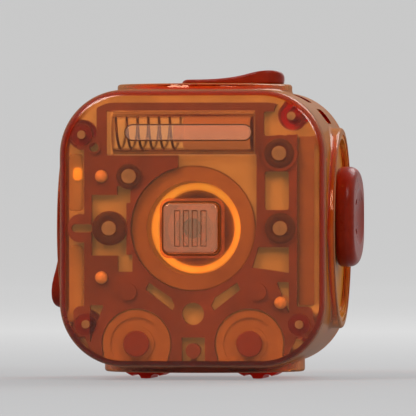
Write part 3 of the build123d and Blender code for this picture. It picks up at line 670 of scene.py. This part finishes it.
# Dark outlines of the four grooves between the button's ribs: painted shade in the grooves.
GROOVES = 4
GROOVE_PITCH = 2.6 * MM
GROOVE_HALF_WIDTH, GROOVE_HALF_HEIGHT, GROOVE_CORNER = 0.85 * MM, 5.3 * MM, 0.3 * MM
GROOVE_DEPTH = 0.45 * MM
button_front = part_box("front_button")[0].y
for number in range(GROOVES):
    groove_middle = ((number - (GROOVES - 1) / 2) * GROOVE_PITCH, BODY_MIDDLE)
    bead(
        f"groove_shade_line_{number + 1}",
        round_rectangle(
            GROOVE_HALF_WIDTH, GROOVE_HALF_HEIGHT, GROOVE_CORNER, groove_middle, steps=3
        ),
        button_front + GROOVE_DEPTH,
        0.17 * MM,
        DARK_SEAM_AND_SHADE,
        "front_button",
    )

# A brown sleeve on the drum's floor, inside the lit ring, that paints shade there.
ring_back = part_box("glow_ring")[1].y
washer(
    "ring_shade_sleeve",
    (0.0, BODY_MIDDLE),
    8.3 * MM,
    11.3 * MM,
    ring_back - 1.2 * MM,
    ring_back - 0.1 * MM,
    PAINTED_SHADE_SLEEVE,
)

# Dark rings of painted shade round the frame's screw bosses: x, height over the body's middle,
# outer radius, in mm.
BOSS_INNER_RADIUS = 2.4 * MM
BOSSES = ((-24.9, 0.0, 4.9), (26.0, 0.0, 4.6), (25.7, 22.2, 4.4), (-19.0, 15.4, 3.7))
for number, (x, z, outer) in enumerate(BOSSES):
    washer(
        f"boss_shade_ring_{number + 1}",
        (x * MM, BODY_MIDDLE + z * MM),
        BOSS_INNER_RADIUS,
        outer * MM,
        frame_front - 0.3 * MM,
        frame_front - 0.02 * MM,
        PAINTED_SHADE_RING,
    )

# ---------------------------------------------------------------- stage, lights and camera

CAMERA_AZIMUTH = radians(6)
CAMERA_DISTANCE = 2.4
CAMERA_HEIGHT = 51 * MM
FIELD_WIDTH = 124.8 * MM
SIDE_STEP = 0.9 * MM
SENSOR_WIDTH = 36.0


def make_stage():
    """A pale floor that curves up into a backdrop behind the robot."""
    mesh = bpy.data.meshes.new("studio_floor")
    form = bmesh.new()
    # Half the floor's width, where it starts to bend, the bend's radius, its front and top edges.
    half, back, bend, front, top = 4.0, 2.7, 0.8, -3.0, 3.0
    profile = [(front, 0.0), (back, 0.0)]
    steps = 24
    for step in range(1, steps + 1):
        angle = step / steps * pi / 2
        profile.append((back + bend * sin(angle), bend - bend * cos(angle)))
    profile.append((back + bend, top))
    rows = [[form.verts.new((x, y, z)) for x in (-half, half)] for y, z in profile]
    for low, high in zip(rows, rows[1:]):
        form.faces.new((low[0], low[1], high[1], high[0])).smooth = True
    form.to_mesh(mesh)
    form.free()
    floor = bpy.data.objects.new("studio_floor", mesh)
    bpy.context.scene.collection.objects.link(floor)
    mesh.materials.append(paper())


def area_light(name, place, target, size, power):
    """A square soft light aimed at a point."""
    data = bpy.data.lights.new(name, "AREA")
    data.size = size
    data.energy = power
    lamp = bpy.data.objects.new(name, data)
    lamp.location = place
    lamp.rotation_euler = (Vector(target) - Vector(place)).to_track_quat("-Z", "Y").to_euler()
    bpy.context.scene.collection.objects.link(lamp)


def make_world():
    """A dim room in front of the robot with a brighter card far ahead, and a bright room behind."""
    world = bpy.data.worlds.new("studio")
    bpy.context.scene.world = world
    world.use_nodes = True
    tree = world.node_tree
    place = tree.nodes.new("ShaderNodeTexCoord")
    split = tree.nodes.new("ShaderNodeSeparateXYZ")
    tree.links.new(place.outputs["Generated"], split.inputs["Vector"])
    reach = add_node(tree, "ShaderNodeMapRange", From_Min=-1.0, From_Max=1.0)
    tree.links.new(split.outputs["Y"], reach.inputs["Value"])
    shades = tree.nodes.new("ShaderNodeValToRGB")
    stops = [(0.0, 0.5), (0.012, 0.5), (0.03, 0.12), (0.25, 0.12), (0.45, 0.6), (1.0, 0.75)]
    elements = shades.color_ramp.elements
    while len(elements) < len(stops):
        elements.new(1.0)
    for element, (position, shade) in zip(elements, stops):
        element.position = position
        element.color = (shade, shade, shade, 1)
    tree.links.new(reach.outputs["Result"], shades.inputs["Fac"])
    tree.links.new(shades.outputs["Color"], tree.nodes["Background"].inputs["Color"])


def make_lights():
    """Two front lamps high on either side and a rim lamp from behind."""
    middle = (0, 0, BODY_MIDDLE)
    area_light("key", (-0.7, -1.0, 1.1), middle, 0.7, 20.0)
    area_light("fill", (0.9, -1.1, 0.8), middle, 0.6, 11.0)
    area_light("rim", (0.5, 0.9, 0.9), middle, 0.7, 8.0)


def make_camera():
    """A level camera with a long lens, a little to the robot's right."""
    data = bpy.data.cameras.new("camera")
    data.sensor_width = SENSOR_WIDTH
    data.lens = SENSOR_WIDTH * CAMERA_DISTANCE / FIELD_WIDTH
    data.clip_end = 20.0
    camera = bpy.data.objects.new("camera", data)
    right = Vector((cos(CAMERA_AZIMUTH), sin(CAMERA_AZIMUTH), 0))
    away = Vector((sin(CAMERA_AZIMUTH), -cos(CAMERA_AZIMUTH), 0))
    camera.location = away * CAMERA_DISTANCE + right * SIDE_STEP + Vector((0, 0, CAMERA_HEIGHT))
    camera.rotation_euler = (pi / 2, 0, CAMERA_AZIMUTH)
    bpy.context.scene.collection.objects.link(camera)
    bpy.context.scene.camera = camera


make_stage()
make_world()
make_lights()
make_camera()
bpy.context.scene.view_settings.view_transform = "Standard"
